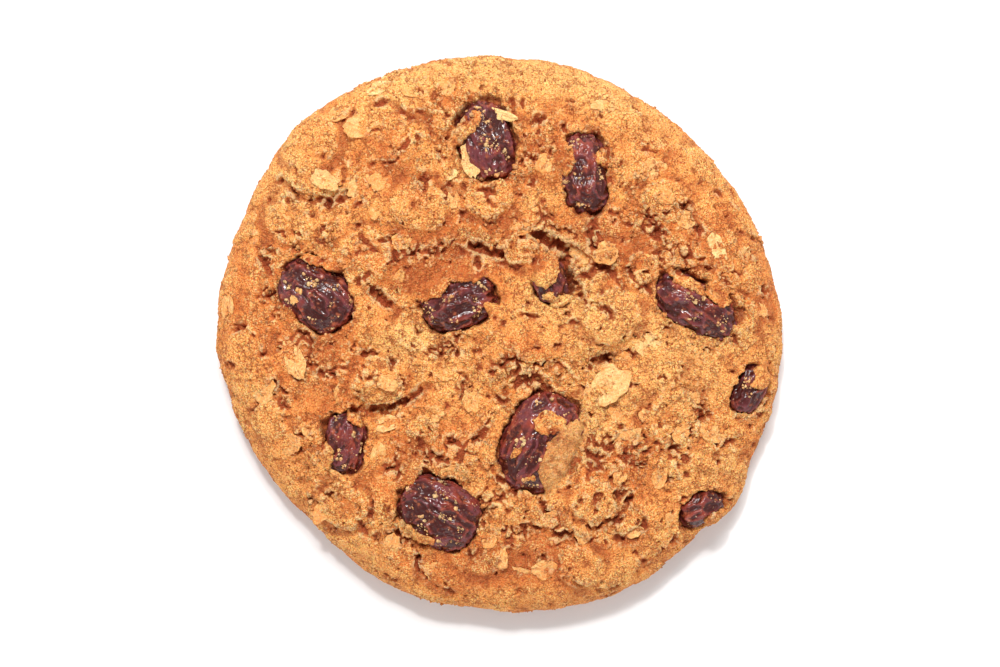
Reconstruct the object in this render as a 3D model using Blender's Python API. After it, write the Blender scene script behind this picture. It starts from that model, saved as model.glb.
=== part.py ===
"""An oatmeal raisin cookie: one lumpy, domed round of baked dough with eleven raisins set in its top.

The origin is the middle of the flat underside, +Z is up, and lengths are metres. Tables of places on
the cookie are in millimetres, seen from above with +X to the right and +Y away, and are scaled by MM.
"""

import math

import bmesh
import bpy
import numpy as np
from mathutils import Matrix, Vector, noise

MM = 0.001

# The round of dough, in millimetres.
CROWN_HEIGHT = 12.6  # the smooth dome's height in the middle, before its lumps
WIDEST_HEIGHT = 3.9  # height above the tray where the edge is widest
FOOT_INSET = 0.955  # the flat underside's radius, as a share of the widest radius
CROWN_POWER = 4.2  # how flat the dome is before it turns down at the edge
SHOULDER_POWER = 2.3  # how round that turn is
SLUMP_POWER = 2.7  # a lower crown power, where the edge slumped into a sloping skirt
SLUMP_ANGLE = math.radians(-26)
SLUMP_WIDTH = math.radians(24)

# Radius of the widest line in millimetres, every 22.5 degrees from +X towards +Y.
OUTLINE_RADII = (
    44.7, 44.1, 43.5, 43.7, 44.0, 44.8, 46.0, 44.8,
    45.0, 43.4, 42.4, 43.7, 44.1, 45.3, 45.0, 44.7,
)
CORNER_ANGLE = math.radians(-37.5)  # one blunt corner where the dough spread further
CORNER_BEFORE = math.radians(5.0)  # how fast it drops away clockwise of its peak
CORNER_AFTER = math.radians(11.0)  # and anticlockwise
CORNER_RISE = 1.6

# How finely the dough's surface is divided.
TOP_CELLS = 32  # cells across the square grid that covers the top
TOP_SHARE = 0.88  # radius of that grid, as a share of the widest radius
SHOULDER_RINGS = 4
UNDERCUT_RINGS = 3

# Broad lumps: x, y, half length, half width, turn in degrees, height. All in millimetres but the turn.
LUMPS = (
    (-28.0, 24.0, 7.0, 4.5, -20, 1.2),
    (-18.0, 31.5, 8.5, 4.5, -8, 1.2),
    (-9.0, 39.0, 11.0, 3.2, 8, 0.7),
    (14.0, 36.5, 10.0, 4.0, -18, 0.9),
    (27.0, 25.0, 9.0, 6.0, -42, 0.8),
    (-13.5, 20.0, 7.0, 4.0, 0, 1.0),
    (-1.0, 20.8, 4.5, 3.6, 0, 1.0),
    (2.6, 13.2, 4.0, 3.2, 20, 1.3),
    (18.0, 12.0, 5.5, 3.0, 10, 0.8),
    (-30.0, 15.5, 6.0, 3.4, 0, 0.7),
    (-19.0, 10.5, 5.0, 4.0, 0, 0.8),
    (-20.0, 2.0, 6.0, 3.4, -25, 1.0),
    (-19.0, -7.0, 5.0, 4.2, 0, 1.3),
    (-10.0, -8.5, 6.0, 4.6, 40, 1.2),
    (-37.0, -6.0, 5.0, 6.0, 0, 0.8),
    (-33.0, -14.0, 6.0, 4.0, -30, 0.7),
    (-23.0, -27.0, 8.0, 4.0, -35, 0.8),
    (3.0, -3.5, 6.0, 3.4, 15, 0.9),
    (17.0, 0.5, 4.4, 4.0, 0, 1.1),
    (25.0, -8.5, 7.0, 4.5, -15, 1.0),
    (22.0, -15.0, 6.0, 4.0, 20, 0.8),
    (30.0, -19.0, 6.0, 4.4, -30, 0.9),
    (11.5, -26.5, 8.0, 4.6, 12, 1.2),
    (22.0, -30.0, 6.0, 4.4, 30, 0.8),
    (12.0, -36.5, 7.0, 3.6, 5, 0.9),
    (-12.0, -38.0, 8.0, 3.0, -12, 0.7),
    (36.0, 9.0, 4.0, 5.0, 0, 0.7),
)

# Hollows between lumps: the three points of a bent line, its half width and its depth, in millimetres.
HOLLOWS = (
    ((-35.0, 24.0), (-30.5, 20.6), (-23.5, 22.0), 1.5, 1.8),
    ((-25.0, 28.5), (-24.2, 26.5), (-24.0, 24.5), 1.4, 1.4),
    ((-20.0, 37.0), (-14.5, 35.0), (-8.0, 35.2), 1.5, 1.3),
    ((-9.5, 12.6), (-4.0, 13.2), (1.0, 12.2), 1.8, 1.9),
    ((-19.0, 6.0), (-15.5, 3.4), (-12.0, 0.0), 1.8, 1.7),
    ((6.0, 15.6), (11.0, 13.6), (11.2, 7.5), 1.8, 2.2),
    ((12.0, 12.6), (15.0, 10.6), (19.0, 9.4), 1.5, 1.3),
    ((-21.5, -11.4), (-17.0, -11.8), (-12.2, -8.6), 1.8, 2.0),
    ((-22.0, -3.0), (-17.5, -2.8), (-15.0, -7.0), 1.3, 1.3),
    ((0.0, -8.8), (5.0, -6.9), (12.5, -8.0), 1.7, 1.7),
    ((14.5, -4.2), (17.5, -4.4), (21.0, -2.4), 1.6, 1.8),
    ((5.0, -30.6), (9.0, -32.2), (14.0, -32.2), 1.6, 1.6),
    ((15.0, -30.4), (19.0, -28.8), (20.4, -25.0), 1.4, 1.4),
    ((-3.0, -9.0), (-1.0, -11.0), (1.0, -11.4), 1.4, 1.2),
    ((-13.0, -21.4), (-9.0, -22.6), (-4.0, -23.8), 1.6, 1.3),
    ((17.0, -33.0), (20.0, -32.8), (22.5, -30.6), 1.4, 1.3),
)

WAVE_LENGTH = 9.0  # the dough's unplanned unevenness, in millimetres
WAVE_HEIGHT = 0.55
EDGE_WAVE_LENGTH = 5.0
EDGE_WAVE_HEIGHT = 0.45

# Each raisin: x, y, half length, half width, half thickness, turn in degrees, and how far its middle
# lies under the dough's surface. The rest in millimetres.
RAISINS = (
    (-1.9, 30.0, 6.4, 4.2, 3.3, 107, 1.5),
    (13.2, 25.3, 6.1, 3.9, 3.2, 97, 1.2),
    (-29.0, 5.9, 6.3, 5.0, 3.3, 137, 1.3),
    (-6.4, 5.1, 5.8, 4.3, 3.0, 22, 1.5),
    (30.8, 4.4, 6.6, 4.0, 3.2, 148, 1.4),
    (6.2, -17.4, 7.7, 5.8, 3.9, 62, 1.3),
    (-24.5, -17.3, 4.8, 3.4, 2.8, 86, 1.5),
    (-9.7, -28.3, 6.2, 5.1, 3.4, 152, 1.1),
    (39.6, -8.9, 4.0, 2.7, 2.3, 62, 1.0),
    (32.0, -27.9, 3.5, 2.9, 2.4, 25, 1.2),
    (8.4, 8.2, 3.6, 2.9, 2.4, 100, 1.5),
)
RAISIN_SEGMENTS = 18
RAISIN_RINGS = 8
RAISIN_BLUNTNESS = 2.8  # 2 gives an ellipsoid, and a higher power gives fuller ends
FOLD_COUNT = 5  # lengthwise folds around a raisin
FOLD_DEPTH = 0.08  # as a share of the raisin's half width
DENT_DEPTH = 0.16  # likewise, for the uneven dents all over it
POCKET_GAP = 0.35  # clearance between a raisin and its pocket in the dough, in millimetres


def new_material(name, colour, roughness):
    """A plain Principled material."""
    material = bpy.data.materials.new(name)
    material.use_nodes = True
    shader = material.node_tree.nodes["Principled BSDF"]
    shader.inputs["Base Color"].default_value = (*colour, 1.0)
    shader.inputs["Roughness"].default_value = roughness
    shader.inputs["Metallic"].default_value = 0.0
    return material


def bump(distance):
    """1 at distance 0, falling smoothly to 0 at distance 1."""
    return max(0.0, 1.0 - distance * distance) ** 2


def outline_radius(angle):
    """Widest radius in this direction: a Catmull-Rom curve through OUTLINE_RADII, plus the corner."""
    count = len(OUTLINE_RADII)
    place = (angle / math.tau * count) % count
    index = int(place)
    t = place - index
    before, here, after, beyond = (OUTLINE_RADII[(index + k) % count] for k in (-1, 0, 1, 2))
    slope_here = (after - before) / 2
    slope_after = (beyond - here) / 2
    smooth = (
        here
        + slope_here * t
        + (3 * (after - here) - 2 * slope_here - slope_after) * t**2
        + (2 * (here - after) + slope_here + slope_after) * t**3
    )
    off_corner = math.remainder(angle - CORNER_ANGLE, math.tau)
    width = CORNER_AFTER if off_corner > 0 else CORNER_BEFORE
    return smooth + CORNER_RISE * bump(off_corner / width)


def crown_power(angle):
    """The dome's power in this direction, lower along the slumped stretch of the edge."""
    off_slump = math.remainder(angle - SLUMP_ANGLE, math.tau) / SLUMP_WIDTH
    share = math.exp(-(off_slump**2))
    return CROWN_POWER + (SLUMP_POWER - CROWN_POWER) * share


def lump_height(x, y, lump):
    """What one broad lump adds at this place."""
    middle_x, middle_y, half_length, half_width, turn, height = lump
    cos, sin = math.cos(math.radians(turn)), math.sin(math.radians(turn))
    along = ((x - middle_x) * cos + (y - middle_y) * sin) / half_length
    across = ((y - middle_y) * cos - (x - middle_x) * sin) / half_width
    return height * bump(math.hypot(along, across) / 1.25)


def distance_to_bent_line(x, y, start, middle, end):
    """Distance to the two straight runs of a bent line."""
    place = Vector((x, y))
    nearest = math.inf
    for a, b in ((start, middle), (middle, end)):
        a, b = Vector(a), Vector(b)
        run = b - a
        t = min(1.0, max(0.0, (place - a).dot(run) / run.length_squared))
        nearest = min(nearest, (place - a - run * t).length)
    return nearest


def relief(x, y):
    """Height of lumps, hollows and waves over the smooth dome."""
    height = sum(lump_height(x, y, lump) for lump in LUMPS)
    for start, middle, end, half_width, depth in HOLLOWS:
        reach = distance_to_bent_line(x, y, start, middle, end) / half_width
        height -= depth * bump(reach / 1.4)
    wave = noise.fractal(Vector((x, y, 0.0)) / WAVE_LENGTH, 1.0, 2.0, 3)
    return height + WAVE_HEIGHT * wave


def top_point(share, angle):
    """Point of the top at this share of the widest radius, with its relief."""
    power = crown_power(angle)
    fall = (1.0 - min(share, 1.0) ** power) ** (1.0 / SHOULDER_POWER)
    radius = outline_radius(angle) * share
    x, y = radius * math.cos(angle), radius * math.sin(angle)
    height = WIDEST_HEIGHT + (CROWN_HEIGHT - WIDEST_HEIGHT) * fall
    return x, y, height + relief(x, y) * fall


def surface_height(x, y):
    """Height of the top over this place."""
    angle = math.atan2(y, x)
    return top_point(math.hypot(x, y) / outline_radius(angle), angle)[2]


def surface_normal(x, y):
    """Direction that the top faces at this place, smoothed over a few millimetres."""
    step = 2.0
    slope_x = (surface_height(x + step, y) - surface_height(x - step, y)) / (2 * step)
    slope_y = (surface_height(x, y + step) - surface_height(x, y - step)) / (2 * step)
    return Vector((-slope_x, -slope_y, 1.0)).normalized()


def edge_wave(x, y, height):
    """How far the side bulges out or in here."""
    place = Vector((x, y, height)) / EDGE_WAVE_LENGTH
    return EDGE_WAVE_HEIGHT * noise.fractal(place, 1.0, 2.0, 3)


def disc_place(across, up):
    """Share of the radius and angle for a cell corner of the square grid, each from -1 to 1."""
    share = max(abs(across), abs(up))
    if share == 0.0:
        return 0.0, 0.0
    if abs(across) >= abs(up):
        turn = up / across * math.pi / 4
        angle = turn if across > 0 else math.pi + turn
    else:
        turn = across / up * math.pi / 4
        angle = math.pi / 2 - turn if up > 0 else -math.pi / 2 - turn
    return share, angle


def rim_walk():
    """Grid corners around the top's square grid, anticlockwise from its lower left."""
    n = TOP_CELLS
    walk = [(i, 0) for i in range(n)]
    walk += [(n, j) for j in range(n)]
    walk += [(i, n) for i in range(n, 0, -1)]
    walk += [(0, j) for j in range(n, 0, -1)]
    return walk


def add_top(mesh):
    """The top as a square grid wrapped to the round. Returns its rim vertices and their angles."""
    grid = {}
    angles = {}
    for i in range(TOP_CELLS + 1):
        for j in range(TOP_CELLS + 1):
            share, angle = disc_place(2 * i / TOP_CELLS - 1, 2 * j / TOP_CELLS - 1)
            point = top_point(share * TOP_SHARE, angle)
            grid[i, j] = mesh.verts.new(Vector(point) * MM)
            angles[i, j] = angle
    for i in range(TOP_CELLS):
        for j in range(TOP_CELLS):
            corners = (grid[i, j], grid[i + 1, j], grid[i + 1, j + 1], grid[i, j + 1])
            mesh.faces.new(corners)
    walk = rim_walk()
    return [grid[corner] for corner in walk], [angles[corner] for corner in walk]


def side_sections(angle):
    """Points down the side in this direction, from the top's rim to the flat underside."""
    power = crown_power(angle)
    widest = outline_radius(angle)
    points = []
    start = math.asin(TOP_SHARE ** (power / 2))
    for ring in range(1, SHOULDER_RINGS + 1):
        lean = start + (math.pi / 2 - start) * ring / SHOULDER_RINGS
        share = math.sin(lean) ** (2 / power)
        x, y, height = top_point(share, angle)
        bulge = edge_wave(x, y, height) * math.sin(lean) ** 6
        points.append((x + bulge * math.cos(angle), y + bulge * math.sin(angle), height))
    for ring in range(1, UNDERCUT_RINGS + 1):
        lean = math.pi / 2 * ring / UNDERCUT_RINGS
        radius = widest * (FOOT_INSET + (1 - FOOT_INSET) * math.cos(lean))
        height = WIDEST_HEIGHT * (1 - math.sin(lean))
        x, y = radius * math.cos(angle), radius * math.sin(angle)
        bulge = edge_wave(x, y, height) * math.cos(lean)
        points.append((x + bulge * math.cos(angle), y + bulge * math.sin(angle), height))
    return points


def make_dough(material):
    """The dough before its pockets are cut: top grid, side rings and one flat face underneath."""
    mesh = bmesh.new()
    ring, angles = add_top(mesh)
    sections = [side_sections(angle) for angle in angles]
    count = len(ring)
    for level in range(SHOULDER_RINGS + UNDERCUT_RINGS):
        lower = [mesh.verts.new(Vector(section[level]) * MM) for section in sections]
        for k in range(count):
            after = (k + 1) % count
            mesh.faces.new((ring[k], lower[k], lower[after], ring[after]))
        ring = lower
    mesh.faces.new(ring[::-1])
    bmesh.ops.triangulate(mesh, faces=[f for f in mesh.faces if len(f.verts) > 4])
    bmesh.ops.recalc_face_normals(mesh, faces=mesh.faces)
    return new_object("dough", mesh, material)


def new_object(name, mesh, material):
    """An object of this bmesh, shaded smooth, with its material."""
    data = bpy.data.meshes.new(name)
    mesh.to_mesh(data)
    mesh.free()
    data.shade_smooth()
    data.set_sharp_from_angle(angle=math.radians(50))
    data.materials.append(material)
    made = bpy.data.objects.new(name, data)
    bpy.context.scene.collection.objects.link(made)
    return made


def raisin_mesh(half_length, half_width, half_thickness, seed, grow=0.0):
    """A plump dried grape along X, with folds along its length. grow makes it larger all round."""
    mesh = bmesh.new()
    bmesh.ops.create_uvsphere(
        mesh, u_segments=RAISIN_SEGMENTS, v_segments=RAISIN_RINGS, radius=1.0
    )
    # The sphere's poles turn to the raisin's two ends.
    bmesh.ops.rotate(mesh, verts=mesh.verts, matrix=Matrix.Rotation(math.pi / 2, 3, "Y"))
    for vertex in mesh.verts:
        ball = vertex.co.normalized()
        around = math.atan2(ball.z, ball.y)
        waist = 1.0 - ball.x**2
        fullness = abs(ball.x) ** RAISIN_BLUNTNESS + waist ** (RAISIN_BLUNTNESS / 2)
        folded = math.cos(FOLD_COUNT * around + 2.4 * ball.x + seed)
        dent = noise.noise(ball * 1.3 + Vector((seed, 0.0, 0.0)))
        size = fullness ** (-1.0 / RAISIN_BLUNTNESS) + FOLD_DEPTH * folded * waist + DENT_DEPTH * dent
        shaped = Vector((ball.x * half_length, ball.y * half_width, ball.z * half_thickness))
        outward = Vector((ball.x / half_length, ball.y / half_width, ball.z / half_thickness))
        vertex.co = (shaped * size + outward.normalized() * grow) * MM
    bmesh.ops.recalc_face_normals(mesh, faces=mesh.faces)
    return mesh


def raisin_placement(x, y, turn, sunk):
    """Matrix that lays a raisin along the dough's surface, sunk into it."""
    normal = surface_normal(x, y)
    middle = Vector((x, y, surface_height(x, y))) - normal * sunk
    tilt = Vector((0, 0, 1)).rotation_difference(normal).to_matrix().to_4x4()
    turned = Matrix.Rotation(math.radians(turn), 4, "Z")
    return Matrix.Translation(middle * MM) @ tilt @ turned


def make_raisin(number, raisin, material):
    """One raisin and the larger one that cuts its pocket."""
    x, y, half_length, half_width, half_thickness, turn, sunk = raisin
    sizes = (half_length, half_width, half_thickness)
    placement = raisin_placement(x, y, turn, sunk)
    name = f"raisin_{number:02d}"
    solid = new_object(name, raisin_mesh(*sizes, seed=number), material)
    solid.matrix_world = placement
    cutter_mesh = raisin_mesh(*sizes, seed=number, grow=POCKET_GAP)
    cutter = new_object(f"pocket_{number:02d}", cutter_mesh, material)
    cutter.matrix_world = placement
    cutter.hide_render = True
    cutter.display_type = "WIRE"
    return cutter


def cut_pocket(dough, cutter):
    """A Boolean on the dough that leaves room for one raisin."""
    cut = dough.modifiers.new(cutter.name, "BOOLEAN")
    cut.operation = "DIFFERENCE"
    cut.object = cutter
    cut.solver = "EXACT"


def main():
    for old in list(bpy.data.objects):
        bpy.data.objects.remove(old)
    baked = new_material("baked_dough", (0.60, 0.28, 0.085), 0.8)
    dried_grape = new_material("raisin_skin", (0.045, 0.014, 0.016), 0.4)
    dough = make_dough(baked)
    for number, raisin in enumerate(RAISINS, start=1):
        cut_pocket(dough, make_raisin(number, raisin, dried_grape))


main()
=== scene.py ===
# %% [markdown]
# # An oatmeal raisin cookie
#
# A drop cookie is a spoonful of dough that slumped and puffed in the oven. What the eye reads is its
# crumb: broad lumps split by ragged crevices, pinholes, loose crumbs and rolled oats, and wrinkled
# raisins that sit in dark pockets. This lesson takes the plain solids of the cookie as a fixed frame
# and dresses them: a finely divided dough surface pushed in and out by layered noise, then raisins,
# oats and crumbs as real meshes, and materials that read what the shaping steps found.
#
# All shaping below is done in millimetres, and turned to metres when a mesh is made.

# %% Load the frame
import math
import random

import bmesh
import bpy
import numpy as np
from mathutils import Matrix, Vector, noise
from mathutils.bvhtree import BVHTree
from mathutils.kdtree import KDTree


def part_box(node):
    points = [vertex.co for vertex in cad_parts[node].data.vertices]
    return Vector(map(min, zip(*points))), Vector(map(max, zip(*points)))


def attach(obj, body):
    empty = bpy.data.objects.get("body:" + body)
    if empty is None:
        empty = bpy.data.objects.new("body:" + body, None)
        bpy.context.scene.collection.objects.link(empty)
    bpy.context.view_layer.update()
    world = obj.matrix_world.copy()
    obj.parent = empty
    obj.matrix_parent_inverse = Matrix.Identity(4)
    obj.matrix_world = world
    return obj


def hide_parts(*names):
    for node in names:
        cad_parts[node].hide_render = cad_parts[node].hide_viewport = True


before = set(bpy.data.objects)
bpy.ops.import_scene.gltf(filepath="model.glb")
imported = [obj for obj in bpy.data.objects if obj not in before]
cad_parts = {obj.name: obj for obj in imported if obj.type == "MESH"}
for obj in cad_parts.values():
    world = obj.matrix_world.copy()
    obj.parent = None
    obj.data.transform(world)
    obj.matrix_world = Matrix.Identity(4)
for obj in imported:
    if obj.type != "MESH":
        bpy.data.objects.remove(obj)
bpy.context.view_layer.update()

MM = 0.001

# %% [markdown]
# ## Noise with a size in millimetres
#
# Nothing on a cookie repeats, so noise does most of the work. Two kinds are enough. Fractal noise
# gives soft unevenness. Voronoi cells give clumps: each point belongs to the nearest of many scattered
# seeds, and the borders between cells become cracks. Both are read in three dimensions, so that the
# pattern wraps from the top over the rim to the underside with no seam.

# %% Noise helpers
def fractal(points, size, octaves=3, shift=0.0):
    """Soft noise from about -1 to 1 whose largest waves are this many millimetres long."""
    places = (points / size + shift).tolist()
    return np.array([noise.fractal(place, 1.0, 2.0, octaves) for place in places])


def wander(points, size, shift=0.0):
    """A soft random vector at each point, for bending straight patterns."""
    places = (points / size + shift).tolist()
    return np.array([noise.noise_vector(place) for place in places])


def clumps(points, size, shift=0.0):
    """For each point: distance to its cell's seed and to the cell's border in millimetres, and the
    cell's own random number from 0 to 1."""
    found = np.empty((len(points), 3))
    for row, place in enumerate((points / size + shift).tolist()):
        distances, seeds = noise.voronoi(place)
        near, second = distances[0], distances[1]
        apart = (seeds[1] - seeds[0]).length
        border = (second * second - near * near) / (2.0 * apart)
        lot = math.sin(seeds[0].x * 12.99 + seeds[0].y * 78.23 + seeds[0].z * 37.72) * 43758.5
        found[row] = near * size, border * size, lot % 1.0
    return found.T


def ramp(value, low, high):
    """0 below low, 1 above high, and a smooth S between them. low may be the larger."""
    share = np.clip((value - low) / (high - low), 0.0, 1.0)
    return share * share * (3.0 - 2.0 * share)


# %% [markdown]
# ## The cookie's smooth form
#
# The solid dough is faceted, with holes for the raisins. A fine surface needs its broad shape without
# either. So an ideal pillow is laid out first: a square grid wrapped to a disc on top, rings down the
# side and a coarser grid underneath, which gives even cells with no pinched pole. Then every vertex
# looks along its own direction for the solid, and keeps the distance it finds.

# %% Measure the outline of the solid dough
WIDEST_HEIGHT = 3.9  # where the side stands out furthest
dough_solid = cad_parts["dough"]
solid_tree = BVHTree.FromPolygons(
    [vertex.co / MM for vertex in dough_solid.data.vertices],
    [list(face.vertices) for face in dough_solid.data.polygons],
)
spokes = np.linspace(-math.pi, math.pi, 721)
reach = []
for angle in spokes:
    outward = Vector((math.cos(angle), math.sin(angle), 0.0))
    start = outward * 60.0 + Vector((0.0, 0.0, WIDEST_HEIGHT))
    reach.append(60.0 - solid_tree.ray_cast(start, -outward)[3])
reach = np.array(reach)
CROWN = float(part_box("dough")[1].z / MM) - 1.5  # the dome under its tallest lumps
print(f"radius {reach.min():.1f} to {reach.max():.1f} mm, dome {CROWN:.1f} mm")


def edge_radius(angle):
    """The cookie's radius in this direction."""
    return np.interp(np.remainder(angle + math.pi, math.tau) - math.pi, spokes, reach)


# %% The pillow's profile
DOME_POWER = 4.2
SHOULDER_POWER = 2.3
FOOT_SHARE = 0.955
TOP_SHARE = 0.88

lean = np.linspace(0.0, math.pi / 2, 200)
profile_share = np.concatenate([
    np.sin(lean) ** (2 / DOME_POWER),
    FOOT_SHARE + (1 - FOOT_SHARE) * np.cos(lean[1:]),
])
profile_height = np.concatenate([
    WIDEST_HEIGHT + (CROWN - WIDEST_HEIGHT) * np.cos(lean) ** (2 / SHOULDER_POWER),
    WIDEST_HEIGHT * (1 - np.sin(lean[1:])),
])
steps = np.hypot(np.diff(profile_share) * reach.mean(), np.diff(profile_height))
profile_run = np.concatenate([[0.0], np.cumsum(steps)])
run_at_top_rim = float(np.interp(TOP_SHARE, profile_share[:200], profile_run[:200]))


def pillow(share, angle, height):
    """Points of the pillow from a share of the radius, an angle and a height."""
    radius = share * edge_radius(angle)
    return np.stack([radius * np.cos(angle), radius * np.sin(angle), height], axis=-1)


def at_run(run, angle):
    """Points and outward directions at this distance down the profile."""
    share = np.interp(run, profile_run, profile_share)
    height = np.interp(run, profile_run, profile_height)
    before, after = run - 0.2, run + 0.2
    share_slope = np.interp(after, profile_run, profile_share) - np.interp(before, profile_run, profile_share)
    height_slope = np.interp(after, profile_run, profile_height) - np.interp(before, profile_run, profile_height)
    out = -height_slope
    up = share_slope * reach.mean()
    size = np.hypot(out, up)
    direction = np.stack([out * np.cos(angle), out * np.sin(angle), up], axis=-1) / size[..., None]
    return pillow(share, angle, height), direction


def wrapped_square(cells):
    """Share of the radius, from 0 to 1, and angle for each corner of a square grid wrapped to a disc."""
    line = np.linspace(-1.0, 1.0, cells + 1)
    across, up = np.meshgrid(line, line, indexing="ij")
    share = np.maximum(np.abs(across), np.abs(up))
    sideways = np.abs(across) >= np.abs(up)
    safe_across = np.where(across == 0, 1.0, across)
    safe_up = np.where(up == 0, 1.0, up)
    turn = np.where(sideways, up / safe_across, across / safe_up) * math.pi / 4
    angle = np.where(
        sideways,
        np.where(across < 0, math.pi, 0.0) + turn,
        np.where(up > 0, math.pi / 2, -math.pi / 2) - turn,
    )
    return share, angle


def rim_walk(cells):
    """Grid corners around a square grid, anticlockwise from its lower left, as (i, j)."""
    walk = [(i, 0) for i in range(cells)]
    walk += [(cells, j) for j in range(cells)]
    walk += [(i, cells) for i in range(cells, 0, -1)]
    walk += [(0, j) for j in range(cells, 0, -1)]
    return np.array(walk)


# %% Lay out the pillow's vertices and faces
TOP_CELLS = 100
SIDE_RINGS = 12
UNDER_CELLS = TOP_CELLS // 2
UNDER_SHARE = 0.94  # how much of the underside's radius its grid covers

share, angle = wrapped_square(TOP_CELLS)
top_run = np.interp(share * TOP_SHARE, profile_share[:200], profile_run[:200])
top_points, top_out = at_run(top_run, angle)
walk = rim_walk(TOP_CELLS)
rim_angle = angle[walk[:, 0], walk[:, 1]]
side_run = np.linspace(run_at_top_rim, profile_run[-1], SIDE_RINGS + 1)[1:]
side_points, side_out = at_run(side_run[:, None] + 0 * rim_angle, rim_angle[None, :] + 0 * side_run[:, None])
share, angle = wrapped_square(UNDER_CELLS)
under_points = pillow(share * FOOT_SHARE * UNDER_SHARE, angle, 0.0 * share)

around = 4 * TOP_CELLS
first_side = (TOP_CELLS + 1) ** 2
first_under = first_side + SIDE_RINGS * around
ideal = np.concatenate([points.reshape(-1, 3) for points in (top_points, side_points, under_points)])
under_out = np.tile((0.0, 0.0, -1.0), (under_points.size // 3, 1))
outward = np.concatenate([top_out.reshape(-1, 3), side_out.reshape(-1, 3), under_out])


def grid_faces(cells, first, flip=False):
    """Quads of a square grid of vertices that starts at this index."""
    i, j = np.meshgrid(np.arange(cells), np.arange(cells), indexing="ij")
    corner = first + i * (cells + 1) + j
    quads = np.stack([corner, corner + cells + 1, corner + cells + 2, corner + 1], axis=-1).reshape(-1, 4)
    return quads[:, ::-1] if flip else quads


top_rim = walk[:, 0] * (TOP_CELLS + 1) + walk[:, 1]
rings = [top_rim] + [first_side + k * around + np.arange(around) for k in range(SIDE_RINGS)]
side_faces = [
    np.stack([above, below, np.roll(below, -1), np.roll(above, -1)], axis=-1)
    for above, below in zip(rings, rings[1:])
]
under_walk = rim_walk(UNDER_CELLS)
under_rim = first_under + under_walk[:, 0] * (UNDER_CELLS + 1) + under_walk[:, 1]
foot_pairs = rings[-1].reshape(-1, 2)
next_foot = np.roll(foot_pairs[:, 0], -1)
next_under = np.roll(under_rim, -1)
strip = np.concatenate([
    np.stack([foot_pairs[:, 0], under_rim, foot_pairs[:, 1]], axis=-1),
    np.stack([under_rim, next_under, foot_pairs[:, 1]], axis=-1),
    np.stack([foot_pairs[:, 1], next_under, next_foot], axis=-1),
])
quads = np.concatenate([grid_faces(TOP_CELLS, 0), *side_faces, grid_faces(UNDER_CELLS, first_under, flip=True)])
print(len(ideal), "vertices in the pillow")

# %% [markdown]
# ## Let the pillow settle on the solid
#
# Each vertex shoots a ray inwards and notes how far the solid lies from the pillow. Rays that fall on
# a raisin would report its pocket instead of the dough, so those readings are thrown away and filled
# in by letting the readings around them spread, the way heat evens out. A few more rounds of
# spreading melt the facets away, and a subdivision surface then makes the mesh sixteen times finer.

# %% Measure each raisin from its solid
raisins = []
for name in sorted(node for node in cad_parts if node.startswith("raisin")):
    corners = np.array([vertex.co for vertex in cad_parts[name].data.vertices]) / MM
    middle = corners.mean(axis=0)
    spread = np.linalg.svd(corners - middle, full_matrices=False)[2]
    if spread[2, 2] < 0:
        spread[2] = -spread[2]
    spread[1] = np.cross(spread[2], spread[0])
    local = (corners - middle) @ spread.T
    middle = middle + (local.max(axis=0) + local.min(axis=0)) / 2 @ spread
    half = (local.max(axis=0) - local.min(axis=0)) / 2
    raisins.append({"name": name, "middle": middle, "axes": spread, "half": half})
    print(name, "half sizes in mm", np.round(half, 1))

PLUMP_POWER = 2.6  # how blunt a raisin's ends are


def oval_distance(points, raisin, grow=0.0):
    """How far points are from a raisin's outline seen along its thickness: 1 on it, 0 in the middle."""
    local = (points - raisin["middle"]) @ raisin["axes"].T
    length, width = raisin["half"][:2] + grow
    sides = np.abs(local[:, 0] / length) ** PLUMP_POWER + np.abs(local[:, 1] / width) ** PLUMP_POWER
    return sides ** (1 / PLUMP_POWER)


# %% Shoot the rays, fill and smooth
FILL_ROUNDS = 80
SMOOTH_ROUNDS = 7
sunk = np.zeros(len(ideal))
known = np.ones(len(ideal), bool)
for raisin in raisins:
    near = np.linalg.norm(ideal - raisin["middle"], axis=1) < raisin["half"][0] + 4.0
    known[np.flatnonzero(near)[oval_distance(ideal[near], raisin, grow=1.2) < 1.0]] = False
for row in np.flatnonzero(known[:first_under]):
    start = Vector(ideal[row] + outward[row] * 8.0)
    hit = solid_tree.ray_cast(start, Vector(-outward[row]), 20.0)
    known[row] = hit[0] is not None
    sunk[row] = 8.0 - hit[3] if known[row] else 0.0


def averaging(faces, count):
    """A function that takes each vertex's mean over the vertices that it shares an edge with."""
    ends = np.concatenate([face[:, [k, (k + 1) % face.shape[1]]] for face in faces for k in range(face.shape[1])])
    degree = np.bincount(ends[:, 0], minlength=count)

    def neighbour_mean(values):
        return np.bincount(ends[:, 0], weights=values[ends[:, 1]], minlength=count) / degree

    return neighbour_mean


neighbour_mean = averaging([quads, strip], len(ideal))
for _ in range(FILL_ROUNDS):
    sunk = np.where(known, sunk, neighbour_mean(sunk))
for _ in range(SMOOTH_ROUNDS):
    sunk = 0.5 * sunk + 0.5 * neighbour_mean(sunk)
sunk[first_under:] = 0.0
print("filled", int((~known).sum()), "readings; the solid lies", np.round(np.percentile(sunk, (0, 50, 100)), 2))

# %% Subdivide it
pillow_data = bpy.data.meshes.new("pillow")
pillow_data.from_pydata((ideal + outward * sunk[:, None]).tolist(), [], quads.tolist() + strip.tolist())
pillow_object = bpy.data.objects.new("pillow", pillow_data)
bpy.context.scene.collection.objects.link(pillow_object)
pillow_object.modifiers.new("finer", "SUBSURF").levels = 2
graph = bpy.context.evaluated_depsgraph_get()
fine_data = bpy.data.meshes.new_from_object(pillow_object.evaluated_get(graph))
bpy.data.objects.remove(pillow_object)

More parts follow.
